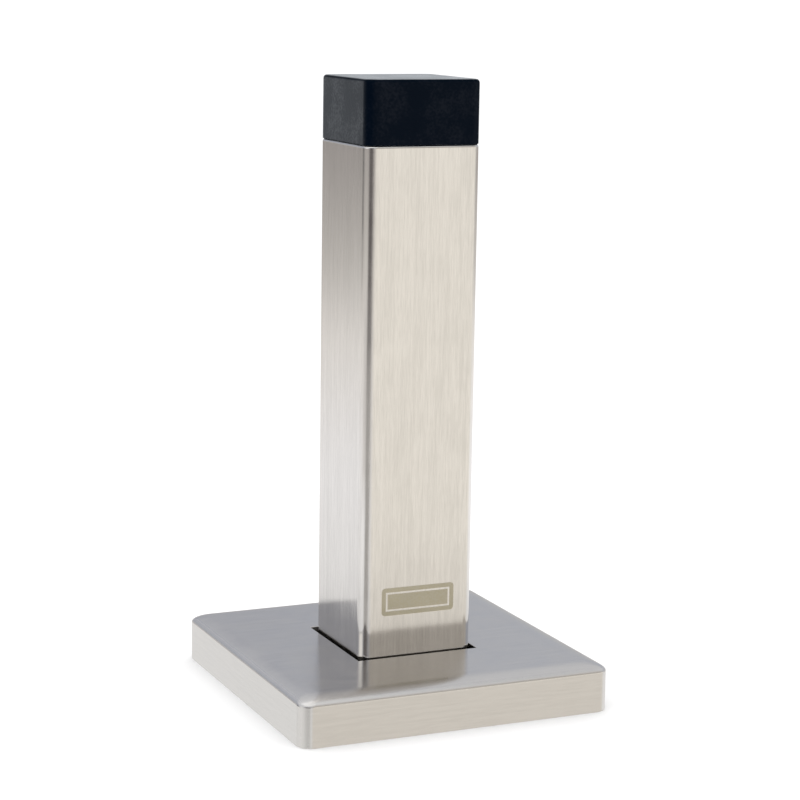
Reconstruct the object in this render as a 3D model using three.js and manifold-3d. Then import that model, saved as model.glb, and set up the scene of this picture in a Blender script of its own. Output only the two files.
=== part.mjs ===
// A square door stop: a rubber-tipped square post standing on a square base.
// The post is screwed to a steel mounting plate from beneath. A pressed cover slides down the post,
// hides the plate and its fixing holes, and is held centred by four spring clips.
// Millimetres, +Z up. The origin is the centre of the base, on the face that meets the floor or wall.

import * as THREE from "three";
import { mergeVertices } from "three/addons/utils/BufferGeometryUtils.js";
import Module from "manifold-3d";

// ---- Driving dimensions ----

const OVERALL_HEIGHT = 96.2;
const POST_WIDTH = 19;
const POST_CORNER = 1.8;
const TUBE_WALL = 1.2;
const BASE_WIDTH = 51.2;
const COVER_HEIGHT = 7.5;
const COVER_WALL = 1.2;
const COVER_CORNER = 2.2;
const COVER_EDGE = { reach: 2.1, drop: 1.1 }; // its rounding, in from the sides and down from the top
const COVER_GAP = 0.55; // between the post and each side of the cover's square hole
const PLATE_THICKNESS = 3;
const BUFFER_HEIGHT = 9.8;

// ---- Dimensions that follow ----

const TUBE_BORE = POST_WIDTH - 2 * TUBE_WALL;
const TUBE_FOOT = PLATE_THICKNESS;
const TUBE_TOP = OVERALL_HEIGHT - BUFFER_HEIGHT;
const TUBE_EDGE = 0.45;
const COVER_CAVITY = BASE_WIDTH - 2 * COVER_WALL;
const COVER_HOLE = POST_WIDTH + 2 * COVER_GAP;
const COVER_INNER_EDGE = 0.6;

const PLATE_CLEARANCE = 0.6; // between the plate's edge and the cover's wall
const PLATE_WIDTH = COVER_CAVITY - 2 * PLATE_CLEARANCE;
const PLATE_CORNER = 2;
const PLATE_EDGE = 0.3;

// Countersunk holes near the plate's corners, for the screws that go into the floor or wall.
const FIXING_HOLE = { reach: 17, diameter: 4.6, head: 8.6 };

// Two countersunk M5 screws on a diagonal hold the post and stop it turning.
const POST_SCREW = { reach: 4.2, diameter: 5, head: 9, length: 16, sunk: 0.1 };
const HEAD_RIM = 0.3; // the short straight side of a countersunk head
const SCREW_CLEARANCE = 0.15;
const SCREW_TIP = 0.6;
const DRIVE = { width: 5, slot: 1.1, depth: 1.6 };

const INSERT = { height: 14, side: 0.15, corner: 0.8, grooves: 3, grooveWidth: 2, grooveDepth: 0.5 };

const STEM = { length: 12, fins: 3, finHeight: 1.6, finGap: 0.1, coreGap: 0.7, corner: 0.5 };
const BUFFER_EDGE = 0.6;

const CLIP = { width: 8, thickness: 0.4, bend: 1, bulge: 0.7, slope: Math.PI / 3, leg: 1.2, lip: 0.5 };
const CLIP_TO_POST = 0.4;
const CLIP_TO_COVER = 0.1;

const RIVET = { reach: 15.5, diameter: 3, head: 5.4, headHeight: 1.2, tail: 4.6 };
const RIVET_CLEARANCE = 0.1;

// ---- Fineness ----

const ARC = 2; // ExtrudeGeometry draws a quarter arc in twice this many flats
const EDGE_FLATS = 3;
const ROUND = 24;
const DOME_FLATS = 4;
const MERGE = 1e-4;
const BEYOND = 1; // how far a cutter runs past the surface it opens

// ---- Materials ----

const satinStainless = new THREE.MeshStandardMaterial({ color: 0xc9c4bb, roughness: 0.35, metalness: 1 });
const zincPlate = new THREE.MeshStandardMaterial({ color: 0xb9bdc2, roughness: 0.4, metalness: 1 });
const castAluminium = new THREE.MeshStandardMaterial({ color: 0x9a9da0, roughness: 0.55, metalness: 1 });
const springSteel = new THREE.MeshStandardMaterial({ color: 0x7d8084, roughness: 0.3, metalness: 1 });
const aluminium = new THREE.MeshStandardMaterial({ color: 0xc8cacc, roughness: 0.4, metalness: 1 });
const blackRubber = new THREE.MeshStandardMaterial({ color: 0x16181d, roughness: 0.6, metalness: 0 });

// ---- Between three.js geometry and solids ----

const wasm = await Module();
wasm.setup();

function solid(geometry) {
  const bare = geometry.clone();
  bare.deleteAttribute("normal");
  bare.deleteAttribute("uv");
  const merged = mergeVertices(bare, MERGE);
  const mesh = new wasm.Mesh({
    numProp: 3,
    vertProperties: merged.attributes.position.array,
    triVerts: new Uint32Array(merged.index.array),
  });
  return new wasm.Manifold(mesh);
}

function cut(body, tools) {
  return tools.reduce((rest, tool) => rest.subtract(solid(tool)), body);
}

function join(body, pieces) {
  return pieces.reduce((whole, piece) => whole.add(solid(piece)), body);
}

function named(name, body, material) {
  const { vertProperties, triVerts } = body.getMesh();
  const indexed = new THREE.BufferGeometry();
  indexed.setAttribute("position", new THREE.BufferAttribute(Float32Array.from(vertProperties), 3));
  indexed.setIndex(new THREE.BufferAttribute(Uint32Array.from(triVerts), 1));
  const geometry = indexed.toNonIndexed();
  geometry.computeVertexNormals();
  const mesh = new THREE.Mesh(geometry, material);
  mesh.name = name;
  return mesh;
}

// ---- Shapes that several pieces use ----

function moved(geometry, x, y, z) {
  return geometry.clone().translate(x, y, z);
}

// A square outline of the given width with rounded corners.
function roundedSquare(width, radius) {
  const flat = width / 2 - radius;
  const outline = new THREE.Shape();
  outline.absarc(flat, flat, radius, 0, Math.PI / 2);
  outline.absarc(-flat, flat, radius, Math.PI / 2, Math.PI);
  outline.absarc(-flat, -flat, radius, Math.PI, 1.5 * Math.PI);
  outline.absarc(flat, -flat, radius, 1.5 * Math.PI, 2 * Math.PI);
  return outline;
}

// An outline raised from low to high. Both ends' edges are rounded, edge wide and drop high.
function prism(outline, low, high, edge = 0, drop = edge) {
  const geometry = new THREE.ExtrudeGeometry(outline, {
    depth: high - low - 2 * drop,
    curveSegments: ARC,
    bevelEnabled: edge > 0,
    bevelThickness: drop,
    bevelSize: edge,
    bevelOffset: -edge,
    bevelSegments: EDGE_FLATS,
  });
  return geometry.translate(0, 0, low + drop);
}

// A solid of revolution about Z. The profile is a list of [radius, height], from the axis up and back to it.
function turned(profile) {
  const points = profile.map(([radius, height]) => new THREE.Vector2(radius, height));
  return new THREE.LatheGeometry(points, ROUND).rotateX(Math.PI / 2);
}

function disc(radius, low, high) {
  return turned([[0, low], [radius, low], [radius, high], [0, high]]);
}

// A countersunk hole through the mounting plate, open to the plate's top, with room around its screw.
function countersink({ diameter, head }, clearance) {
  const hole = diameter / 2 + clearance;
  const mouth = head / 2 + clearance;
  const rim = PLATE_THICKNESS - HEAD_RIM - clearance;
  return turned([
    [0, -BEYOND],
    [hole, -BEYOND],
    [hole, rim - (mouth - hole)],
    [mouth, rim],
    [mouth, PLATE_THICKNESS + BEYOND],
    [0, PLATE_THICKNESS + BEYOND],
  ]);
}

// The same hole, open to the plate's underside.
function countersinkBelow(fastener, clearance) {
  return countersink(fastener, clearance).rotateX(Math.PI).translate(0, 0, PLATE_THICKNESS);
}

// ---- The sub-parts, each with its own foot or seat at z = 0 ----

function baseCover() {
  const { reach, drop } = COVER_EDGE;
  const skirt = -2 * drop;
  const outside = prism(roundedSquare(BASE_WIDTH, COVER_CORNER), skirt, COVER_HEIGHT, reach, drop);
  const inside = prism(
    roundedSquare(COVER_CAVITY, COVER_CORNER - COVER_WALL),
    skirt - BEYOND,
    COVER_HEIGHT - COVER_WALL,
    COVER_INNER_EDGE,
  );
  const underside = new THREE.BoxGeometry(2 * BASE_WIDTH, 2 * BASE_WIDTH, BASE_WIDTH);
  const hole = new THREE.BoxGeometry(COVER_HOLE, COVER_HOLE, 4 * COVER_HEIGHT);
  return cut(solid(outside), [moved(underside, 0, 0, -BASE_WIDTH / 2), inside, hole]);
}

function mountingPlate() {
  const fixing = countersink(FIXING_HOLE, 0);
  const screwHole = countersinkBelow(POST_SCREW, SCREW_CLEARANCE);
  const rivetHole = countersinkBelow({ diameter: RIVET.diameter, head: RIVET.tail }, RIVET_CLEARANCE);
  const holes = [];
  for (const side of [-1, 1]) {
    const screwReach = side * POST_SCREW.reach;
    const fixingReach = side * FIXING_HOLE.reach;
    holes.push(
      moved(screwHole, screwReach, screwReach, 0),
      moved(rivetHole, side * RIVET.reach, 0, 0),
      moved(rivetHole, 0, side * RIVET.reach, 0),
      moved(fixing, fixingReach, fixingReach, 0),
      moved(fixing, fixingReach, -fixingReach, 0),
    );
  }
  return cut(solid(prism(roundedSquare(PLATE_WIDTH, PLATE_CORNER), 0, PLATE_THICKNESS, PLATE_EDGE)), holes);
}

function postTube() {
  const length = TUBE_TOP - TUBE_FOOT;
  const outside = prism(roundedSquare(POST_WIDTH, POST_CORNER), 0, length, TUBE_EDGE);
  const bore = prism(roundedSquare(TUBE_BORE, POST_CORNER - TUBE_WALL), -BEYOND, length + BEYOND);
  return cut(solid(outside), [bore]);
}

// A cast block pressed into the tube's foot, grooved down its sides and tapped for the two post screws.
function footInsert() {
  const width = TUBE_BORE - 2 * INSERT.side;
  const pitch = width / (INSERT.grooves + 1);
  const groove = new THREE.BoxGeometry(INSERT.grooveWidth, 2 * INSERT.grooveDepth, 3 * INSERT.height);
  const tools = [];
  for (let i = 0; i < INSERT.grooves; i += 1) {
    const along = (i - (INSERT.grooves - 1) / 2) * pitch;
    for (let side = 0; side < 4; side += 1) {
      tools.push(moved(groove, along, width / 2, 0).rotateZ((side * Math.PI) / 2));
    }
  }
  const thread = disc(POST_SCREW.diameter / 2 + SCREW_CLEARANCE, -BEYOND, INSERT.height + BEYOND);
  for (const side of [-1, 1]) {
    tools.push(moved(thread, side * POST_SCREW.reach, side * POST_SCREW.reach, 0));
  }
  return cut(solid(prism(roundedSquare(width, INSERT.corner), 0, INSERT.height, PLATE_EDGE)), tools);
}

// A countersunk machine screw with a cross recess. Its head's face is at z = 0 and it points up.
function postScrew() {
  const shank = POST_SCREW.diameter / 2;
  const head = POST_SCREW.head / 2;
  const screw = turned([
    [0, 0],
    [head, 0],
    [head, HEAD_RIM],
    [shank, HEAD_RIM + head - shank],
    [shank, POST_SCREW.length - SCREW_TIP],
    [shank - SCREW_TIP, POST_SCREW.length],
    [0, POST_SCREW.length],
  ]);
  const slot = new THREE.BoxGeometry(DRIVE.width, DRIVE.slot, 2 * DRIVE.depth);
  return cut(solid(screw), [slot, slot.clone().rotateZ(Math.PI / 2)]);
}

// The rubber block that the door meets, with a finned stem that grips inside the tube.
// Its shoulder, which rests on the tube's end, is at z = 0.
function rubberBuffer() {
  const block = prism(roundedSquare(POST_WIDTH, POST_CORNER), -BUFFER_EDGE, BUFFER_HEIGHT, BUFFER_EDGE);
  const below = new THREE.BoxGeometry(2 * POST_WIDTH, 2 * POST_WIDTH, POST_WIDTH);
  const core = roundedSquare(TUBE_BORE - 2 * STEM.coreGap, STEM.corner);
  const fin = roundedSquare(TUBE_BORE - 2 * STEM.finGap, STEM.corner + STEM.coreGap);
  const stem = [prism(core, -STEM.length, BEYOND, STEM.corner / 2)];
  const pitch = STEM.length / (STEM.fins + 0.5);
  for (let i = 1; i <= STEM.fins; i += 1) {
    const top = STEM.finHeight / 2 - i * pitch;
    stem.push(prism(fin, top - STEM.finHeight, top, STEM.coreGap - STEM.finGap));
  }
  return join(cut(solid(block), [moved(below, 0, 0, -POST_WIDTH / 2)]), stem);
}

// The outline of a strip of the given thickness that follows a path.
function strip(path, thickness) {
  const points = path.getPoints(ARC);
  const half = thickness / 2;
  const offsets = points.map((point, i) => {
    const before = points[Math.max(i - 1, 0)];
    const after = points[Math.min(i + 1, points.length - 1)];
    const along = after.clone().sub(before).normalize();
    return new THREE.Vector2(-along.y, along.x).multiplyScalar(half);
  });
  const upper = points.map((point, i) => point.clone().add(offsets[i]));
  const lower = points.map((point, i) => point.clone().sub(offsets[i]));
  return new THREE.Shape([...lower, ...upper.reverse()]);
}

// A spring clip, lying along +X from the post to the cover's wall: a flat tab with a hole for its rivet,
// then a leg that rises outwards, bulges against the cover, and turns in at its lip.
function coverClip() {
  const { thickness, bend, bulge, slope, leg, lip } = CLIP;
  const middle = thickness / 2;
  const bulgeX = COVER_CAVITY / 2 - CLIP_TO_COVER - middle - bulge;
  const legTopX = bulgeX + bulge * Math.sin(slope);
  const bendX = legTopX - leg * Math.cos(slope) - bend * Math.sin(slope);
  const bulgeZ = middle + bend * (1 - Math.cos(slope)) + leg * Math.sin(slope) + bulge * Math.cos(slope);
  const lipEnd = new THREE.Vector2(legTopX, bulgeZ + bulge * Math.cos(slope));
  lipEnd.add(new THREE.Vector2(-Math.cos(slope), Math.sin(slope)).multiplyScalar(lip));

  const path = new THREE.Path();
  path.moveTo(POST_WIDTH / 2 + CLIP_TO_POST, middle);
  path.lineTo(bendX, middle);
  path.absarc(bendX, middle + bend, bend, -Math.PI / 2, slope - Math.PI / 2);
  path.absarc(bulgeX, bulgeZ, bulge, slope - Math.PI / 2, Math.PI / 2 - slope);
  path.lineTo(lipEnd.x, lipEnd.y);

  const blank = new THREE.ExtrudeGeometry(strip(path, thickness), { depth: CLIP.width, bevelEnabled: false });
  blank.translate(0, 0, -CLIP.width / 2);
  blank.rotateX(Math.PI / 2);
  const hole = disc(RIVET.diameter / 2 + RIVET_CLEARANCE, -BEYOND, thickness + BEYOND);
  return cut(solid(blank), [moved(hole, RIVET.reach, 0, 0)]);
}

// A rivet with a domed head on the clip and a tail set flush into the plate's underside, which is z = 0.
function clipRivet() {
  const shank = RIVET.diameter / 2;
  const tail = RIVET.tail / 2;
  const seat = PLATE_THICKNESS + CLIP.thickness;
  const profile = [
    [0, 0],
    [tail, 0],
    [tail, HEAD_RIM],
    [shank, HEAD_RIM + tail - shank],
    [shank, seat],
    [RIVET.head / 2, seat],
  ];
  for (let step = 1; step < DOME_FLATS; step += 1) {
    const turn = (step / DOME_FLATS) * (Math.PI / 2);
    profile.push([(RIVET.head / 2) * Math.cos(turn), seat + RIVET.headHeight * Math.sin(turn)]);
  }
  profile.push([0, seat + RIVET.headHeight]);
  return solid(turned(profile));
}

// ---- Assembly ----

const doorStop = new THREE.Group();

const base = new THREE.Group();
base.add(named("mounting_plate", mountingPlate(), zincPlate));
[-1, 1].forEach((side, i) => {
  const screw = named(`post_screw_${i + 1}`, postScrew(), zincPlate);
  screw.position.set(side * POST_SCREW.reach, side * POST_SCREW.reach, POST_SCREW.sunk);
  base.add(screw);
});
["right", "back", "left", "front"].forEach((side, i) => {
  const corner = new THREE.Group();
  corner.rotation.z = (i * Math.PI) / 2;
  const clip = named(`cover_clip_${side}`, coverClip(), springSteel);
  clip.position.z = PLATE_THICKNESS;
  const rivet = named(`clip_rivet_${side}`, clipRivet(), aluminium);
  rivet.position.x = RIVET.reach;
  corner.add(clip, rivet);
  base.add(corner);
});

const post = new THREE.Group();
post.position.z = TUBE_FOOT;
post.add(named("post_tube", postTube(), satinStainless));
post.add(named("foot_insert", footInsert(), castAluminium));

const buffer = named("rubber_buffer", rubberBuffer(), blackRubber);
buffer.position.z = TUBE_TOP;

const cover = named("base_cover", baseCover(), satinStainless);

doorStop.add(base, post, buffer, cover);

export default doorStop;
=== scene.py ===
"""A square door stop in satin brushed steel with a black rubber end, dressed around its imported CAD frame."""

import math

import bmesh
import bpy
from mathutils import Matrix, Vector


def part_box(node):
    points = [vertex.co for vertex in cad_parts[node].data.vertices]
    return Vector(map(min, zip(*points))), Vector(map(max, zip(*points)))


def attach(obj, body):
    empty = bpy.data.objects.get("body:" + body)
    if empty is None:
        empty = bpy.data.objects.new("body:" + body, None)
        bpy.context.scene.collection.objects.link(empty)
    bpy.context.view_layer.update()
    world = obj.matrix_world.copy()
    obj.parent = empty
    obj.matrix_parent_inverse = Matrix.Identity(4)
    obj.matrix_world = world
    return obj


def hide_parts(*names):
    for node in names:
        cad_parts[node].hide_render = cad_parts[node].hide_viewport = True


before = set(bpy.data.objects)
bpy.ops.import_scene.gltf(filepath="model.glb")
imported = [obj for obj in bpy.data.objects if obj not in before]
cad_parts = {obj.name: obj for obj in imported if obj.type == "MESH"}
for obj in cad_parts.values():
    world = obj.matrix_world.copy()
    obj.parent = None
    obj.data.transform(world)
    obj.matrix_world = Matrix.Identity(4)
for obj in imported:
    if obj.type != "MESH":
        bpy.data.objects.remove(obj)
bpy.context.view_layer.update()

MM = 0.001

# ---- Sizes read from the frame ----

tube_low, tube_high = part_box("post_tube")
cover_low, cover_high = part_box("base_cover")
plate_low, plate_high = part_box("mounting_plate")
buffer_low, buffer_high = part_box("rubber_buffer")
clip_low, clip_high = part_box("cover_clip_right")
rivet_low, rivet_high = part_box("clip_rivet_right")
screw_low, screw_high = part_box("post_screw_1")

POST_WIDTH = tube_high.x - tube_low.x
BASE_WIDTH = cover_high.x - cover_low.x
COVER_HEIGHT = cover_high.z
PLATE_WIDTH = plate_high.x - plate_low.x
PLATE_THICKNESS = plate_high.z
CLIP_WIDTH = clip_high.y - clip_low.y
RIVET_REACH = (rivet_low.x + rivet_high.x) / 2
SCREW_REACH = abs(screw_low.x + screw_high.x) / 2

# ---- Sizes the boxes don't hold, with holes, shanks, heads and tails as radii ----

POST_CORNER = 1.8 * MM
TUBE_WALL = 1.2 * MM
TUBE_EDGE = 0.45 * MM
COVER_CORNER = 2.2 * MM
COVER_WALL = 1.2 * MM
COVER_EDGE_REACH = 3.5 * MM  # how far the top's rounded edge runs in from the side
COVER_EDGE_DROP = 1.3 * MM  # and down from the top
COVER_GAP = 0.55 * MM  # between the cover and the post
COVER_HOLE_CORNER = 0.15 * MM
SHARPEST_CORNER = 0.15 * MM  # the least radius of an upright corner that tightens as its outline moves in
COVER_INNER_EDGE = 0.6 * MM
CUT_EDGE = 0.12 * MM  # the broken edge of sheet where it has been cut
PLATE_CORNER = 2 * MM
PLATE_EDGE = 0.35 * MM
BUFFER_EDGE = 0.6 * MM
BUFFER_SEAM = 0.15 * MM
STEM_CORE_GAP = 0.7 * MM  # between the stem's core and the tube
STEM_FIN_GAP = 0.1 * MM  # between its fins and the tube
STEM_FINS = 3
STEM_CORNER = 0.5 * MM
STEM_FIN_HEIGHT = 1.6 * MM  # at the fin's root
FIXING_REACH = 17 * MM  # from the centre to each wood screw's hole, along X and along Y
FIXING_HOLE = 2.3 * MM
FIXING_HEAD = 4.3 * MM
HEAD_RIM = 0.3 * MM  # the upright edge of a countersunk head
SCREW_SHANK = 2.5 * MM
SCREW_HEAD = 4.5 * MM
SCREW_CLEARANCE = 0.15 * MM
SCREW_PITCH = 0.8 * MM
THREAD_DEPTH = 0.4 * MM
DRIVE_WIDTH = 5 * MM
DRIVE_SLOT = 1.1 * MM
DRIVE_DEPTH = 1.6 * MM
RIVET_SHANK = 1.5 * MM
RIVET_TAIL = 2.3 * MM
RIVET_CLEARANCE = 0.1 * MM
RIVET_DOME = 1.2 * MM
DOME_SWEEP = math.radians(88)  # just short of the pole, so that the dome ends in a small flat
CLIP_THICKNESS = 0.4 * MM
CLIP_SLOPE = math.radians(60)
CLIP_BEND = 1 * MM
CLIP_BULGE = 0.7 * MM
CLIP_LEG = 1.2 * MM  # the straight part of the slope
CLIP_LIP = 0.5 * MM  # the straight part past the bulge
CLIP_CORNER = 1 * MM
BEYOND = 1 * MM  # how far a cutter runs past the surface it opens

# ---- Fineness ----

ARC = 10  # flats in a quarter turn of a square outline's corner
EDGE = 6  # flats in a rounded edge
ROUND = 64  # flats in a full turn
THREAD_RINGS = 8  # rings of points in one pitch of a thread
SHARP = math.radians(35)  # edges that turn by more than this are shaded sharp
QUARTER = math.radians(90)  # a quarter turn


# ---- Outlines ----


def rounded_path(corners, closed):
    """A path of (a, b) points through corners given as (a, b, radius), each rounded by its radius."""
    path = []
    count = len(corners)
    for i, (a, b, radius) in enumerate(corners):
        here = Vector((a, b))
        is_end = not closed and i in (0, count - 1)
        if radius == 0 or is_end:
            path.append(here)
            continue
        before = (Vector(corners[i - 1][:2]) - here).normalized()
        after = (Vector(corners[(i + 1) % count][:2]) - here).normalized()
        half_angle = before.angle(after) / 2
        middle = here + (before + after).normalized() * (radius / math.sin(half_angle))
        start = here + before * (radius / math.tan(half_angle)) - middle
        turn = start.angle_signed(here + after * (radius / math.tan(half_angle)) - middle)
        for step in range(EDGE + 1):
            path.append(middle + Matrix.Rotation(-turn * step / EDGE, 2) @ start)
    return path


def square_ring(half, corner, z):
    """A square outline with rounded corners, as points at one height."""
    centre = Vector((half - corner, half - corner, 0))
    points = []
    for quarter in range(4):
        for step in range(ARC + 1):
            angle = QUARTER * step / ARC
            point = centre + corner * Vector((math.cos(angle), math.sin(angle), 0))
            point = Matrix.Rotation(QUARTER * quarter, 3, "Z") @ point
            points.append(Vector((point.x, point.y, z)))
    return points


def round_ring(radius, z):
    """A circle, as points at one height."""
    turns = [math.tau * i / ROUND for i in range(ROUND)]
    return [Vector((radius * math.cos(turn), radius * math.sin(turn), z)) for turn in turns]


# ---- Meshes ----


def make_piece(name, mesh_builder):
    """A mesh object from a filled bmesh, with its faces pointing out."""
    bmesh.ops.recalc_face_normals(mesh_builder, faces=mesh_builder.faces)
    mesh = bpy.data.meshes.new(name)
    mesh_builder.to_mesh(mesh)
    mesh_builder.free()
    piece = bpy.data.objects.new(name, mesh)
    bpy.context.scene.collection.objects.link(piece)
    return piece


def skin(name, rings, closed):
    """A piece whose skin joins each ring of points to the next. A closed skin joins the last to the first,
    and an open one is capped at both ends."""
    builder = bmesh.new()
    loops = [[builder.verts.new(point) for point in ring] for ring in rings]
    pairs = list(zip(loops, loops[1:]))
    if closed:
        pairs.append((loops[-1], loops[0]))
    for lower, upper in pairs:
        for i in range(len(lower)):
            j = (i + 1) % len(lower)
            builder.faces.new((lower[i], lower[j], upper[j], upper[i]))
    if not closed:
        builder.faces.new(loops[0])
        builder.faces.new(loops[-1])
    return make_piece(name, builder)


def square_skin(name, width, plan_corner, profile, closed):
    """A square piece. Its profile is a list of (depth in from the side, height, edge radius), and
    plan_corner(depth, height) gives the radius of its upright corners."""
    path = rounded_path(profile, closed)
    rings = [square_ring(width / 2 - depth, plan_corner(depth, z), z) for depth, z in path]
    return skin(name, rings, closed)


def inset(corner, sharpest=SHARPEST_CORNER):
    """The plan_corner of a piece whose corners tighten as its outline moves in."""
    return lambda depth, z: max(corner - depth, sharpest)


def round_skin(name, profile):
    """A turned piece. Its profile is a list of (radius, height, edge radius) from bottom to top."""
    rings = [round_ring(radius, z) for radius, z in rounded_path(profile, closed=False)]
    return skin(name, rings, closed=False)


def smooth(piece):
    """Shades the piece smooth between its sharp edges, with its flat faces kept flat."""
    mesh = piece.data
    mesh.shade_smooth()
    mesh.set_sharp_from_angle(angle=SHARP)
    weighted = piece.modifiers.new("flat faces lead", "WEIGHTED_NORMAL")
    weighted.keep_sharp = True


def cut(piece, cutters):
    """Cuts the cutters out of the piece, and then removes the cutters."""
    for cutter in cutters:
        carve = piece.modifiers.new("cut", "BOOLEAN")
        carve.operation = "DIFFERENCE"
        carve.solver = "EXACT"
        carve.object = cutter
    bpy.context.view_layer.update()
    evaluated = piece.evaluated_get(bpy.context.evaluated_depsgraph_get())
    mesh = bpy.data.meshes.new_from_object(evaluated)
    piece.modifiers.clear()
    piece.data = mesh
    for cutter in cutters:
        bpy.data.objects.remove(cutter)


def countersink(x, y, hole, head, clearance, faces_up):
    """A cutter for a countersunk hole through the mounting plate, in the shape of its screw or rivet."""
    hole += clearance
    mouth = head + clearance
    rim = HEAD_RIM + clearance
    rim_base = PLATE_THICKNESS - rim
    heights = [-BEYOND, rim_base - (mouth - hole), rim_base, PLATE_THICKNESS + BEYOND]
    radii = [hole, hole, mouth, mouth]
    if not faces_up:
        heights = [PLATE_THICKNESS - z for z in heights]
    cutter = skin("cutter", [round_ring(radius, z) for radius, z in zip(radii, heights)], closed=False)
    cutter.data.transform(Matrix.Translation((x, y, 0)))
    return cutter


def box_cutter(width, depth, height, turn):
    """A cutter in the shape of a box on the origin, turned about Z."""
    builder = bmesh.new()
    bmesh.ops.create_cube(builder, size=1)
    cutter = make_piece("cutter", builder)
    cutter.data.transform(Matrix.Rotation(turn, 4, "Z") @ Matrix.Diagonal((width, depth, height, 1)))
    return cutter


def line_inside(piece, width, top, wall, lining):
    """Gives a hollow square piece's inner faces, below the given top, a material of their own."""
    piece.data.materials.append(lining)
    for face in piece.data.polygons:
        depth = width / 2 - max(abs(face.center.x), abs(face.center.y))
        if depth > wall / 2 and face.center.z < top - wall + CUT_EDGE:
            face.material_index = len(piece.data.materials) - 1


# ---- The pieces ----


def cover_edge():
    """The quarter of an oval that the cover's side turns through into its top, in steps of equal lean."""
    flats = 3 * EDGE
    points = []
    for step in range(flats + 1):
        lean = QUARTER * step / flats
        angle = math.atan2(COVER_EDGE_DROP * math.sin(lean), COVER_EDGE_REACH * math.cos(lean))
        depth = COVER_EDGE_REACH * (1 - math.cos(angle))
        points.append((depth, COVER_HEIGHT - COVER_EDGE_DROP * (1 - math.sin(angle)), 0))
    return points


def build_cover():
    """The pressed cover: its outer side, its top, the hole round the post, and its inside."""
    hole = (BASE_WIDTH - POST_WIDTH) / 2 - COVER_GAP
    roof = COVER_HEIGHT - COVER_WALL
    profile = [
        (0, 0, CUT_EDGE),
        *cover_edge(),
        (hole, COVER_HEIGHT, CUT_EDGE),
        (hole, roof, CUT_EDGE),
        (COVER_WALL, roof, COVER_INNER_EDGE),
        (COVER_WALL, 0, CUT_EDGE),
    ]

    def plan_corner(depth, z):
        if depth > hole / 2:
            return COVER_HOLE_CORNER
        on_outside = depth < COVER_WALL / 2 or z > roof
        return COVER_CORNER if on_outside else COVER_CORNER - COVER_WALL

    return square_skin("cover", BASE_WIDTH, plan_corner, profile, closed=True)


def build_post():
    """The square tube, open at both ends."""
    profile = [
        (0, tube_low.z, TUBE_EDGE),
        (0, tube_high.z, TUBE_EDGE),
        (TUBE_WALL, tube_high.z, CUT_EDGE),
        (TUBE_WALL, tube_low.z, CUT_EDGE),
    ]
    return square_skin("post", POST_WIDTH, inset(POST_CORNER), profile, closed=True)


def build_rubber():
    """The buffer: a finned stem inside the tube, and a square head flush with the tube's outside.

    Each fin slopes gently below and steeply above, so that it goes in more easily than it comes out, and the
    last one's middle is half a pitch from the stem's end.
    """
    shoulder = tube_high.z
    core = TUBE_WALL + STEM_CORE_GAP
    fin = TUBE_WALL + STEM_FIN_GAP
    slope = core - fin
    pitch = (shoulder - buffer_low.z) / (STEM_FINS + 0.5)
    profile = [(core + slope, buffer_low.z, 0), (core, buffer_low.z, slope / 2)]
    for i in range(STEM_FINS, 0, -1):
        top = shoulder + STEM_FIN_HEIGHT / 2 - i * pitch
        profile += [
            (core, top - STEM_FIN_HEIGHT, 0),
            (fin, top - STEM_FIN_HEIGHT + slope, slope / 4),
            (fin, top - slope / 3, slope / 4),
            (core, top, 0),
        ]
    profile += [
        (core, shoulder, 0),
        (0, shoulder, BUFFER_SEAM),
        (0, buffer_high.z, BUFFER_EDGE),
        (core, buffer_high.z, 0),
    ]
    return square_skin("rubber", POST_WIDTH, inset(POST_CORNER, STEM_CORNER), profile, closed=False)


def build_plate():
    """The mounting plate, with holes for four wood screws, the post's two screws and the clips' rivets."""
    middle = PLATE_WIDTH / 4
    profile = [
        (middle, 0, 0),
        (0, 0, PLATE_EDGE),
        (0, PLATE_THICKNESS, PLATE_EDGE),
        (middle, PLATE_THICKNESS, 0),
    ]
    plate = square_skin("plate", PLATE_WIDTH, inset(PLATE_CORNER), profile, closed=False)
    cutters = []
    for side in (-1, 1):
        for other in (-1, 1):
            x, y = side * FIXING_REACH, other * FIXING_REACH
            cutters.append(countersink(x, y, FIXING_HOLE, FIXING_HEAD, 0, faces_up=True))
        reach = side * SCREW_REACH
        cutters.append(countersink(reach, reach, SCREW_SHANK, SCREW_HEAD, SCREW_CLEARANCE, faces_up=False))
        for x, y in ((side * RIVET_REACH, 0), (0, side * RIVET_REACH)):
            cutters.append(countersink(x, y, RIVET_SHANK, RIVET_TAIL, RIVET_CLEARANCE, faces_up=False))
    cut(plate, cutters)
    return plate


def clip_centre_line():
    """The clip's bent centre line as (x, z) points: along the plate, up a slope, and back over a bulge."""
    middle = CLIP_THICKNESS / 2
    foot = plate_high.z + middle
    rise = Vector((math.cos(CLIP_SLOPE), math.sin(CLIP_SLOPE)))
    bulge_top = clip_high.x - middle - CLIP_BULGE + CLIP_BULGE * math.sin(CLIP_SLOPE)
    bend_end = bulge_top - CLIP_LEG * rise.x
    bend_tangent = CLIP_BEND * math.tan(CLIP_SLOPE / 2)
    bend = Vector((bend_end - rise.x * bend_tangent, foot))
    bulge_tangent = CLIP_BULGE * math.tan(math.pi / 2 - CLIP_SLOPE)
    bulge = bend + rise * (bend_tangent + CLIP_LEG + bulge_tangent)
    lip = bulge + Vector((-rise.x, rise.y)) * (bulge_tangent + CLIP_LIP)
    corners = [(clip_low.x, foot, 0), (*bend, CLIP_BEND), (*bulge, CLIP_BULGE), (*lip, 0)]
    return rounded_path(corners, closed=False)


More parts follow.
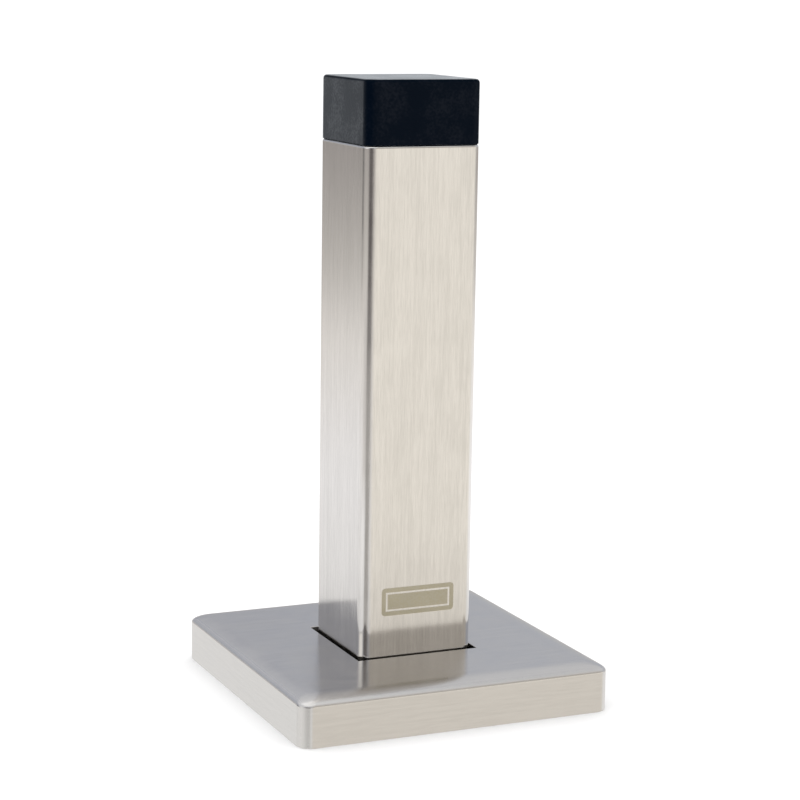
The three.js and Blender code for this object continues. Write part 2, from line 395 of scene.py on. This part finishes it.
def build_clip(name, turn):
    """A spring clip: a flat strip with a rounded end, swept along its centre line, with a rivet hole."""
    path = clip_centre_line()
    strip = []
    for step in range(EDGE + 1):
        angle = QUARTER * step / EDGE
        from_end = CLIP_CORNER * (1 - math.cos(angle))
        half_width = CLIP_WIDTH / 2 - CLIP_CORNER * (1 - math.sin(angle))
        strip.append((path[0] + Vector((from_end, 0)), half_width))
    strip += [(point, CLIP_WIDTH / 2) for point in path[1:]]
    rings = []
    for i, (point, half) in enumerate(strip):
        along = (strip[min(i + 1, len(strip) - 1)][0] - strip[max(i - 1, 0)][0]).normalized()
        off = Vector((-along.y, along.x)) * CLIP_THICKNESS / 2
        low, high = point - off, point + off
        corners = [(low, -half), (low, half), (high, half), (high, -half)]
        rings.append([Vector((spot.x, y, spot.y)) for spot, y in corners])
    clip = skin(name, rings, closed=False)
    radius = RIVET_SHANK + RIVET_CLEARANCE
    hole = skin("cutter", [round_ring(radius, 0), round_ring(radius, 2 * PLATE_THICKNESS)], closed=False)
    hole.data.transform(Matrix.Translation((RIVET_REACH, 0, 0)))
    cut(clip, [hole])
    clip.data.transform(Matrix.Rotation(turn, 4, "Z"))
    return clip


def build_rivet(name, turn):
    """A rivet with a countersunk tail in the plate and a domed head on its clip."""
    seat = plate_high.z + CLIP_THICKNESS
    head = (rivet_high.x - rivet_low.x) / 2
    profile = [
        (RIVET_TAIL, 0, 0),
        (RIVET_TAIL, HEAD_RIM, 0),
        (RIVET_SHANK, HEAD_RIM + RIVET_TAIL - RIVET_SHANK, 0),
        (RIVET_SHANK, seat, 0),
    ]
    flats = 2 * EDGE - 1
    for step in range(flats + 1):
        angle = DOME_SWEEP * step / flats
        profile.append((head * math.cos(angle), seat + RIVET_DOME * math.sin(angle), 0))
    rivet = round_skin(name, profile)
    rivet.data.transform(Matrix.Rotation(turn, 4, "Z") @ Matrix.Translation((RIVET_REACH, 0, 0)))
    return rivet


def thread_ring(z, neck, tip):
    """A ring round a threaded shank at one height. The thread runs out over a pitch at each end."""
    run_out = min(1, (z - neck) / SCREW_PITCH, (tip - z) / SCREW_PITCH)
    taper = max(0, 1 - (tip - z) / (2 * THREAD_DEPTH)) * THREAD_DEPTH
    ring = []
    for i in range(ROUND):
        turn = i / ROUND
        phase = (z / SCREW_PITCH - turn) % 1
        groove = THREAD_DEPTH * abs(2 * phase - 1) * run_out
        radius = SCREW_SHANK - groove - taper
        ring.append(Vector((radius * math.cos(math.tau * turn), radius * math.sin(math.tau * turn), z)))
    return ring


def build_screw(name, side):
    """A countersunk machine screw, head down, with a cross slot in its head."""
    base = screw_low.z
    tip = screw_high.z
    neck = base + HEAD_RIM + SCREW_HEAD - SCREW_SHANK
    steps = int((tip - neck) / SCREW_PITCH * THREAD_RINGS)
    rings = [round_ring(SCREW_HEAD, base), round_ring(SCREW_HEAD, base + HEAD_RIM)]
    rings += [thread_ring(neck + (tip - neck) * step / steps, neck, tip) for step in range(steps + 1)]
    screw = skin(name, rings, closed=False)
    slots = [box_cutter(DRIVE_WIDTH, DRIVE_SLOT, 2 * DRIVE_DEPTH, turn) for turn in (0, QUARTER)]
    cut(screw, slots)
    screw.data.transform(Matrix.Translation((side * SCREW_REACH, side * SCREW_REACH, 0)))
    return screw


# ---- Material nodes ----


def add_node(tree, kind, inputs=None, **settings):
    """Adds a node. Each input's value is a number, a tuple, or the socket that feeds it."""
    node = tree.nodes.new(kind)
    for name, value in settings.items():
        setattr(node, name, value)
    for name, value in (inputs or {}).items():
        if isinstance(value, bpy.types.NodeSocket):
            tree.links.new(value, node.inputs[name])
        else:
            node.inputs[name].default_value = value
    return node


def calculate(tree, operation, *values):
    """A sum on numbers."""
    return add_node(tree, "ShaderNodeMath", dict(enumerate(values)), operation=operation).outputs[0]


def on_vectors(tree, operation, *values):
    """A sum on vectors."""
    node = add_node(tree, "ShaderNodeVectorMath", dict(enumerate(values)), operation=operation)
    gives_number = operation in ("DOT_PRODUCT", "LENGTH")
    return node.outputs["Value" if gives_number else "Vector"]


def ramp(tree, value, low, high, to_low=0.0, to_high=1.0):
    """Value, carried smoothly from low..high to to_low..to_high, and held at the ends."""
    inputs = {"Value": value, "From Min": low, "From Max": high, "To Min": to_low, "To Max": to_high}
    return add_node(tree, "ShaderNodeMapRange", inputs, interpolation_type="SMOOTHSTEP").outputs[0]


def noise(tree, place, scale, detail=3.0, roughness=0.5):
    """Noise from 0 to 1, with scale cells in each unit of place."""
    inputs = {"Vector": place, "Scale": scale, "Detail": detail, "Roughness": roughness}
    return add_node(tree, "ShaderNodeTexNoise", inputs).outputs[0]


def mix_colours(tree, share, first, second):
    """The first colour at a share of 0, and the second at 1."""
    node = add_node(tree, "ShaderNodeMix", data_type="RGBA")
    sockets = (node.inputs[0], node.inputs[6], node.inputs[7])  # its factor, and its A and B for colours
    for socket, value in zip(sockets, (share, first, second)):
        if isinstance(value, bpy.types.NodeSocket):
            tree.links.new(value, socket)
        else:
            socket.default_value = value
    return node.outputs[2]


def bump(tree, height, distance, strength):
    """The surface's normal, tilted by a height whose unit is the given distance in metres."""
    inputs = {"Height": height, "Distance": distance, "Strength": strength}
    return add_node(tree, "ShaderNodeBump", inputs).outputs[0]


def start_material(name):
    """A material that is only a Principled node so far, with its tree, and that node."""
    material = bpy.data.materials.new(name)
    material.use_nodes = True
    tree = material.node_tree
    tree.nodes.clear()
    shader = add_node(tree, "ShaderNodeBsdfPrincipled")
    add_node(tree, "ShaderNodeOutputMaterial", {"Surface": shader.outputs[0]})
    return material, tree, shader


def surface_place(tree):
    """Where the surface is in its object's own space, in metres."""
    return add_node(tree, "ShaderNodeTexCoord").outputs["Object"]


def surface_normal(tree):
    """The direction that the surface faces, before any bump."""
    return add_node(tree, "ShaderNodeNewGeometry").outputs["Normal"]


def feed(tree, shader, **inputs):
    """Sets the Principled node's inputs, whose names are given with underscores for spaces."""
    for name, value in inputs.items():
        socket = shader.inputs[name.replace("_", " ")]
        if isinstance(value, bpy.types.NodeSocket):
            tree.links.new(value, socket)
        else:
            socket.default_value = value


def rounded_edges(tree, normal):
    """1 where the surface turns a rounded edge, 0 on the flats."""
    parts = add_node(tree, "ShaderNodeSeparateXYZ", {"Vector": on_vectors(tree, "ABSOLUTE", normal)}).outputs
    largest = calculate(tree, "MAXIMUM", calculate(tree, "MAXIMUM", parts[0], parts[1]), parts[2])
    return ramp(tree, largest, 1.0, 0.8)


# ---- Materials ----

STEEL = (0.76, 0.735, 0.705, 1)
STEEL_DARK = (0.61, 0.59, 0.565, 1)
# lighter steel for rounded edges: partly polish from wear, partly a painted highlight
STEEL_WORN_AND_HIGHLIT = (0.84, 0.82, 0.79, 1)
GRAIN_ACROSS = 2600.0  # cells of brushing in a metre across the grain
GRAIN_ALONG = 110.0  # and along it
HAIRLINE_SHARE = 0.25  # of the steel's tone
CLOUD_SHARE = 0.2
GRAIN_SHARE = 0.55  # for the streaks and the bands together
ETCH = (0.60, 0.55, 0.41, 1)
ETCH_DEPTH = 3.0  # in the brushing's own heights
MARK_CENTRE = (0, 0, 16.2 * MM)
MARK_HALF = (6.1 * MM, 1, 2.2 * MM)
MARK_ROUND = 0.6 * MM
MARK_BLUR = 0.05 * MM
MARK_INSET = 0.85 * MM  # from the panel's edge to its keyline
MARK_LINE = 0.3 * MM


def etched_panel(tree, place, normal):
    """1 on a plain etched oblong low on the post's front, but 0 on a bare line inside its edge."""
    offset = on_vectors(tree, "ABSOLUTE", on_vectors(tree, "SUBTRACT", place, MARK_CENTRE))
    past = on_vectors(tree, "SUBTRACT", offset, tuple(half - MARK_ROUND for half in MARK_HALF))
    outside = on_vectors(tree, "LENGTH", on_vectors(tree, "MAXIMUM", past, (0, 0, 0)))
    across = add_node(tree, "ShaderNodeSeparateXYZ", {"Vector": past}).outputs
    inside = calculate(tree, "MINIMUM", calculate(tree, "MAXIMUM", across[0], across[2]), 0)
    distance = calculate(tree, "SUBTRACT", calculate(tree, "ADD", outside, inside), MARK_ROUND)
    panel = ramp(tree, distance, MARK_BLUR, -MARK_BLUR)
    from_line = calculate(tree, "ABSOLUTE", calculate(tree, "ADD", distance, MARK_INSET))
    keyline = ramp(tree, from_line, MARK_LINE * 0.4, MARK_LINE * 0.6)
    frontward = on_vectors(tree, "DOT_PRODUCT", normal, (0, -1, 0))
    on_front = calculate(tree, "GREATER_THAN", frontward, 0.9)
    return calculate(tree, "MULTIPLY", calculate(tree, "MULTIPLY", panel, keyline), on_front)


def brushed_steel(name, grain_of, contrast, banding, soft_edges=False, marked=False):
    """Satin stainless steel.

    grain_of gives the direction of the brushing, as a vector. A contrast of 1 makes the grain as strong as
    STEEL_DARK on STEEL, and banding is how much of it lies in broad bands and not in fine streaks. Soft edges
    are dull and unbrushed, where others are polished by wear. All rounded edges are also painted lighter,
    partly as polish from wear and partly as a painted highlight. A marked piece has the etched panel.
    """
    material, tree, shader = start_material(name)
    place = surface_place(tree)
    normal = surface_normal(tree)
    grain = grain_of(tree, normal)
    stretch = (GRAIN_ALONG - GRAIN_ACROSS,) * 3
    scales = on_vectors(tree, "MULTIPLY_ADD", grain, stretch, (GRAIN_ACROSS,) * 3)
    brushed = on_vectors(tree, "MULTIPLY", place, scales)
    hairlines = noise(tree, brushed, 4.0, 3.0, 0.6)
    streaks = noise(tree, brushed, 1.0, 3.0, 0.6)
    bands = noise(tree, brushed, 0.2, 2.0)
    clouds = noise(tree, place, 240.0)
    edges = rounded_edges(tree, normal)

    tone = calculate(tree, "MULTIPLY", streaks, GRAIN_SHARE - banding)
    for layer, share in ((hairlines, HAIRLINE_SHARE), (clouds, CLOUD_SHARE), (bands, banding)):
        tone = calculate(tree, "MULTIPLY_ADD", layer, share, tone)
    shade = ramp(tree, tone, 0.36, 0.64, 0.5 - contrast / 2, 0.5 + contrast / 2)
    colour = mix_colours(tree, shade, STEEL_DARK, STEEL)
    # rounded edges are painted lighter: partly polish from wear, partly a painted highlight
    colour = mix_colours(tree, calculate(tree, "MULTIPLY", edges, 0.35), colour, STEEL_WORN_AND_HIGHLIT)
    roughness = calculate(tree, "MULTIPLY_ADD", tone, 0.09, 0.095)
    roughness = calculate(tree, "MULTIPLY_ADD", clouds, 0.08, roughness)
    roughness = calculate(tree, "MULTIPLY_ADD", edges, 0.15 if soft_edges else -0.05, roughness)
    height = calculate(tree, "ADD", hairlines, streaks)
    if marked:
        etch = etched_panel(tree, place, normal)
        speckle = ramp(tree, noise(tree, place, 5000.0, 2.0), 0.35, 0.65, 0.75, 1.0)
        colour = mix_colours(tree, calculate(tree, "MULTIPLY", etch, speckle), colour, ETCH)
        roughness = calculate(tree, "MULTIPLY_ADD", etch, 0.25, roughness)
        height = calculate(tree, "MULTIPLY_ADD", etch, -ETCH_DEPTH, height)
    feed(
        tree,
        shader,
        Base_Color=colour,
        Metallic=1.0,
        Roughness=roughness,
        Anisotropic=calculate(tree, "SUBTRACT", 1.0, edges) if soft_edges else 1.0,
        Tangent=on_vectors(tree, "CROSS_PRODUCT", normal, grain),
        Normal=bump(tree, height, 0.003 * MM, 0.5 * contrast),
    )
    return material


def grain_up(tree, normal):
    """Along the post on every side."""
    return (0, 0, 1)


def grain_round_cover(tree, normal):
    """Along X on the top, the front and the back, and along Y on the two other sides."""
    sideways = calculate(tree, "ABSOLUTE", on_vectors(tree, "DOT_PRODUCT", normal, (1, 0, 0)))
    on_side = calculate(tree, "GREATER_THAN", sideways, 0.72)  # a little past the middle of a corner
    off_side = calculate(tree, "SUBTRACT", 1.0, on_side)
    return add_node(tree, "ShaderNodeCombineXYZ", {"X": off_side, "Y": on_side}).outputs[0]


def mill_steel():
    """Unbrushed steel as rolled, with dull patches, for faces that are hidden in use."""
    material, tree, shader = start_material("mill finish steel")
    place = surface_place(tree)
    clouds = noise(tree, place, 180.0, 4.0, 0.6)
    grains = noise(tree, place, 2500.0)
    patches = ramp(tree, clouds, 0.35, 0.65)
    feed(
        tree,
        shader,
        Base_Color=mix_colours(tree, patches, (0.20, 0.19, 0.18, 1), (0.32, 0.31, 0.30, 1)),
        Metallic=1.0,
        Roughness=calculate(tree, "MULTIPLY_ADD", clouds, 0.25, 0.35),
        Normal=bump(tree, grains, 0.01 * MM, 0.6),
    )
    return material


def black_rubber():
    """Matt moulded rubber: near black face on, and dusty grey where it is seen along its surface."""
    material, tree, shader = start_material("black rubber")
    place = surface_place(tree)
    normal = surface_normal(tree)
    grains = noise(tree, place, 2600.0, 3.0, 0.6)
    clouds = noise(tree, place, 220.0)
    dust = ramp(tree, calculate(tree, "MULTIPLY", grains, clouds), 0.18, 0.42)
    edges = rounded_edges(tree, normal)
    # the rounded edges lose most of their sheen and shine: a painted shade that keeps them black
    off_edges = calculate(tree, "MULTIPLY_ADD", edges, -0.85, 1.0)
    haze = calculate(tree, "MULTIPLY", calculate(tree, "MULTIPLY_ADD", dust, 0.3, 0.72), off_edges)
    # less sheen on the upward-facing end: a painted shade that darkens the top
    upward = on_vectors(tree, "DOT_PRODUCT", normal, (0, 0, 1))
    top_painted_shade = ramp(tree, upward, 0.8, 1.0, 1.0, 0.68)
    shine = calculate(tree, "MULTIPLY_ADD", dust, 0.04, 0.02)
    roughness = calculate(tree, "MULTIPLY_ADD", clouds, 0.2, 0.36)
    feed(
        tree,
        shader,
        Base_Color=mix_colours(tree, dust, (0.001, 0.003, 0.007, 1), (0.003, 0.005, 0.010, 1)),
        Roughness=calculate(tree, "MULTIPLY_ADD", edges, 0.4, roughness),
        Specular_IOR_Level=calculate(tree, "MULTIPLY", shine, off_edges),
        Sheen_Weight=calculate(tree, "MULTIPLY", haze, top_painted_shade),
        Sheen_Roughness=0.3,
        Sheen_Tint=(0.9, 0.95, 1.0, 1),
        Normal=bump(tree, grains, 0.03 * MM, 0.35),
    )
    return material


def zinc_plating():
    """Bright zinc on steel: a fine crystal grain, cloudy tones and paler edges."""
    material, tree, shader = start_material("zinc plating")
    place = surface_place(tree)
    cells = add_node(tree, "ShaderNodeTexVoronoi", {"Vector": place, "Scale": 900.0}).outputs["Distance"]
    grains = noise(tree, place, 3000.0, 4.0, 0.6)
    clouds = noise(tree, place, 120.0)
    edges = rounded_edges(tree, surface_normal(tree))
    colour = mix_colours(tree, ramp(tree, clouds, 0.3, 0.7), (0.56, 0.59, 0.64, 1), (0.70, 0.71, 0.70, 1))
    colour = mix_colours(tree, calculate(tree, "MULTIPLY", edges, 0.4), colour, (0.80, 0.81, 0.82, 1))
    feed(
        tree,
        shader,
        Base_Color=colour,
        Metallic=1.0,
        Roughness=calculate(tree, "MULTIPLY_ADD", clouds, 0.22, 0.24),
        Normal=bump(tree, calculate(tree, "MULTIPLY_ADD", cells, 0.6, grains), 0.01 * MM, 0.5),
    )
    return material


def spring_steel():
    """Tempered strip: dark, with blue and brown tones and bare edges."""
    material, tree, shader = start_material("spring steel")
    place = surface_place(tree)
    clouds = noise(tree, place, 300.0)
    grains = noise(tree, place, 6000.0, 3.0, 0.6)
    edges = rounded_edges(tree, surface_normal(tree))
    colour = mix_colours(tree, ramp(tree, clouds, 0.35, 0.65), (0.27, 0.28, 0.31, 1), (0.38, 0.36, 0.33, 1))
    colour = mix_colours(tree, calculate(tree, "MULTIPLY", edges, 0.4), colour, (0.55, 0.54, 0.52, 1))
    feed(
        tree,
        shader,
        Base_Color=colour,
        Metallic=1.0,
        Roughness=calculate(tree, "MULTIPLY_ADD", grains, 0.15, 0.22),
        Normal=bump(tree, grains, 0.005 * MM, 0.5),
    )
    return material


def plain_aluminium(name, light, dark, roughness, grain_size):
    """Bare aluminium, with a grain of the given size in metres that roughens it."""
    material, tree, shader = start_material(name)
    place = surface_place(tree)
    grains = noise(tree, place, 1 / grain_size, 4.0, 0.6)
    clouds = noise(tree, place, 250.0)
    feed(
        tree,
        shader,
        Base_Color=mix_colours(tree, clouds, dark, light),
        Metallic=1.0,
        Roughness=calculate(tree, "MULTIPLY_ADD", grains, 0.2, roughness),
        Normal=bump(tree, grains, grain_size / 10, 0.5),
    )
    return material


def drawn_aluminium():
    """Bright and fine grained, for the rivets."""
    return plain_aluminium("drawn aluminium", (0.80, 0.80, 0.80, 1), (0.66, 0.67, 0.68, 1), 0.22, 0.15 * MM)


def cast_aluminium():
    """Dull and coarse grained, for the insert."""
    return plain_aluminium("cast aluminium", (0.55, 0.55, 0.54, 1), (0.40, 0.40, 0.41, 1), 0.45, 0.4 * MM)


# ---- Dressing the frame ----


def dress(piece, material, body, node):
    """Finishes a piece and lets it stand for its CAD node."""
    smooth(piece)
    piece.data.materials.clear()
    piece.data.materials.append(material)
    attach(piece, body)
    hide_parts(node)


ROOT = "post_and_plate"

mill = mill_steel()
cover = build_cover()
cover_steel = brushed_steel("brushed cover", grain_round_cover, contrast=0.26, banding=0.04, soft_edges=True)
dress(cover, cover_steel, "cover", "base_cover")
line_inside(cover, BASE_WIDTH, COVER_HEIGHT, COVER_WALL, mill)

post = build_post()
post_steel = brushed_steel("brushed post", grain_up, contrast=0.75, banding=0.2, marked=True)
dress(post, post_steel, ROOT, "post_tube")
line_inside(post, POST_WIDTH, tube_high.z, TUBE_WALL, mill)

dress(build_rubber(), black_rubber(), "buffer", "rubber_buffer")

zinc = zinc_plating()
dress(build_plate(), zinc, ROOT, "mounting_plate")
for number, side in ((1, -1), (2, 1)):
    dress(build_screw(f"screw_{number}", side), zinc, ROOT, f"post_screw_{number}")

spring = spring_steel()
rivet_metal = drawn_aluminium()
for quarter, side in enumerate(("right", "back", "left", "front")):
    turn = QUARTER * quarter
    dress(build_clip(f"clip_{side}", turn), spring, ROOT, f"cover_clip_{side}")
    dress(build_rivet(f"rivet_{side}", turn), rivet_metal, ROOT, f"clip_rivet_{side}")

# The insert is inside the tube at every pose, so the frame's own solid stays, with a metal of its own.
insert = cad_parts["foot_insert"]
insert.data.materials.clear()
insert.data.materials.append(cast_aluminium())


# ---- Stage ----

FLOOR_SIZE = 20.0
BACKGROUND = 1.2  # the radiance of the white that the camera sees
BRIGHTEST = 1.25  # the radiance of a colour of 1 in the room that the metal sees

# What the metal sees at each height, as (elevation in degrees, colour), from straight down to overhead.
# The ceiling is dark in its middle, where the softbox hangs.
CEILING = [
    (60, (0.57, 0.58, 0.61)),
    (75, (0.30, 0.31, 0.32)),
]
ROOM = [
    # the table
    (-90, (0.68, 0.68, 0.68)),
    (-18, (0.75, 0.76, 0.76)),
    (-16.4, (0.64, 0.64, 0.65)),
    (-14.8, (0.84, 0.84, 0.85)),
    (-12, (0.90, 0.90, 0.92)),
    (-9, (0.81, 0.79, 0.77)),
    # its far edge, in shade
    (-7, (0.56, 0.54, 0.52)),
    (-4, (0.37, 0.35, 0.34)),
    (-1, (0.38, 0.37, 0.37)),
    # the wall, cooler and darker with height, then paler under the ceiling
    (1, (0.54, 0.54, 0.53)),
    (6, (0.52, 0.52, 0.52)),
    (10, (0.44, 0.46, 0.52)),
    (14.5, (0.42, 0.45, 0.52)),
    (17.5, (0.34, 0.37, 0.44)),
    (21, (0.40, 0.42, 0.47)),
    (28, (0.57, 0.58, 0.61)),
    *CEILING,
]
WINDOW = [
    # the table before it
    (-90, (0.60, 0.58, 0.55)),
    (-18, (0.58, 0.55, 0.51)),
    (-14, (0.85, 0.82, 0.76)),
    # the window
    (-3, (0.88, 0.85, 0.79)),
    (0, (0.84, 0.81, 0.76)),
    (7, (0.80, 0.77, 0.72)),
    # the wall above it
    (12, (0.57, 0.54, 0.50)),
    (18, (0.50, 0.48, 0.44)),
    (26, (0.36, 0.34, 0.31)),
    (34, (0.36, 0.34, 0.31)),
    (44, (0.52, 0.51, 0.50)),
    *CEILING,
]
WINDOW_BEARING = (307, 32, 12)  # its middle, half its width and the softness of its ends, in degrees

# What stands in the room, nearest last: its (bearing, spread, softness) as for the window, its (lowest
# elevation, highest elevation, softness) in degrees, and its colour.
THINGS = {
    "shelf behind": ((112, 38, 12), (10, 26, 4), (0.33, 0.35, 0.41, 1)),
    "lamp at the left": ((180, 14, 12), (12, 22, 3), (1.0, 1.0, 1.0, 1)),
    "stand at the left": ((140, 5, 9), (-5, 8, 4), (0.11, 0.11, 0.11, 1)),
    "shaded table": ((215, 15, 45), (-12, -8.5, 1.5), (0.60, 0.58, 0.57, 1)),
    "table before the camera": ((230, 13, 14), (-16.6, -8.5, 1.5), (0.36, 0.35, 0.34, 1)),
    "camera": ((229, 12, 14), (-7, 34, 4), (0.11, 0.10, 0.10, 1)),
}


def build_floor():
    """A pale floor that the metal doesn't see."""
    material, tree, shader = start_material("pale floor")
    clouds = noise(tree, surface_place(tree), 6.0, 2.0)
    colour = mix_colours(tree, clouds, (0.93, 0.93, 0.93, 1), (0.96, 0.96, 0.96, 1))
    feed(tree, shader, Base_Color=colour, Roughness=0.9)
    builder = bmesh.new()
    bmesh.ops.create_grid(builder, size=FLOOR_SIZE / 2)
    floor = make_piece("floor", builder)
    floor.data.materials.append(material)
    floor.visible_glossy = False


def elevation_sine(degrees):
    """The height of a unit direction at an elevation."""
    return math.sin(math.radians(degrees))


def by_elevation(tree, height, stops):
    """The colour at a direction's height, blended between stops of (elevation in degrees, colour)."""
    node = add_node(tree, "ShaderNodeValToRGB", {0: calculate(tree, "MULTIPLY_ADD", height, 0.5, 0.5)})
    elements = node.color_ramp.elements
    elements.remove(elements[1])
    for i, (elevation, colour) in enumerate(stops):
        position = (elevation_sine(elevation) + 1) / 2
        element = elements.new(position) if i else elements[0]
        element.position = position
        element.color = (*colour, 1)
    return node.outputs[0]


def bearing(tree, direction, azimuth, spread, soft):
    """1 within spread of an azimuth, falling to 0 over soft, all in degrees anticlockwise from +X."""
    level = on_vectors(tree, "NORMALIZE", on_vectors(tree, "MULTIPLY", direction, (1, 1, 0)))
    toward = (math.cos(math.radians(azimuth)), math.sin(math.radians(azimuth)), 0)
    closeness = on_vectors(tree, "DOT_PRODUCT", level, toward)
    outer = math.cos(math.radians(spread + soft))
    inner = math.cos(math.radians(spread))
    return ramp(tree, closeness, outer, inner)


def between(tree, height, low, high, soft):
    """1 between two elevations, falling to 0 over soft beyond each, all in degrees."""
    rise = ramp(tree, height, elevation_sine(low - soft), elevation_sine(low))
    fall = ramp(tree, height, elevation_sine(high + soft), elevation_sine(high))
    return calculate(tree, "MULTIPLY", rise, fall)


def build_studio():
    """A world that is white to the camera and a room to the metal: a bright table below, grey walls, a warm
    window at the front right, a lamp at the left, and darker things around the camera and behind."""
    world = bpy.data.worlds.new("studio")
    bpy.context.scene.world = world
    world.use_nodes = True
    world.cycles.sampling_method = "NONE"
    tree = world.node_tree
    tree.nodes.clear()
    direction = add_node(tree, "ShaderNodeTexCoord").outputs["Generated"]
    height = add_node(tree, "ShaderNodeSeparateXYZ", {"Vector": direction}).outputs[2]

    colour = by_elevation(tree, height, ROOM)
    window = by_elevation(tree, height, WINDOW)
    colour = mix_colours(tree, bearing(tree, direction, *WINDOW_BEARING), colour, window)
    for around, heights, shade in THINGS.values():
        across = bearing(tree, direction, *around)
        upright = between(tree, height, *heights)
        colour = mix_colours(tree, calculate(tree, "MULTIPLY", across, upright), colour, shade)

    rays = add_node(tree, "ShaderNodeLightPath").outputs
    room_light = add_node(tree, "ShaderNodeBackground", {"Color": colour, "Strength": BRIGHTEST})
    white = add_node(tree, "ShaderNodeBackground", {"Color": (1, 1, 1, 1), "Strength": BACKGROUND})
    chooser = add_node(tree, "ShaderNodeMixShader", {0: rays["Is Glossy Ray"]})
    tree.links.new(white.outputs[0], chooser.inputs[1])
    tree.links.new(room_light.outputs[0], chooser.inputs[2])
    add_node(tree, "ShaderNodeOutputWorld", {"Surface": chooser.outputs[0]})


def build_softbox():
    """A soft light overhead, a little to the left, that draws the highlight on the cover's front edge."""
    light = bpy.data.lights.new("softbox", "AREA")
    light.shape = "RECTANGLE"
    light.size = 0.26
    light.size_y = 0.30
    light.energy = 0.17  # W
    softbox = bpy.data.objects.new("softbox", light)
    softbox.location = (-0.045, 0, 0.3)
    softbox.visible_camera = False
    bpy.context.scene.collection.objects.link(softbox)


def build_camera():
    """The view from the front left and a little above."""
    azimuth = math.radians(-24.03)
    elevation = math.radians(10.41)
    roll = math.radians(0.88)
    distance = 0.3589
    aim = Vector((0.36, -0.77, 46.1)) * MM
    back = Vector(
        (
            math.sin(azimuth) * math.cos(elevation),
            -math.cos(azimuth) * math.cos(elevation),
            math.sin(elevation),
        )
    )
    view = bpy.data.cameras.new("camera")
    view.lens = 103.3  # mm
    view.clip_start = 0.01
    view.clip_end = 50
    camera = bpy.data.objects.new("camera", view)
    upright = (-back).to_track_quat("-Z", "Y").to_matrix().to_4x4()
    camera.matrix_world = Matrix.Translation(aim + back * distance) @ upright @ Matrix.Rotation(roll, 4, "Z")
    bpy.context.scene.collection.objects.link(camera)
    bpy.context.scene.camera = camera


build_floor()
build_studio()
build_softbox()
build_camera()
bpy.context.scene.view_settings.view_transform = "Standard"
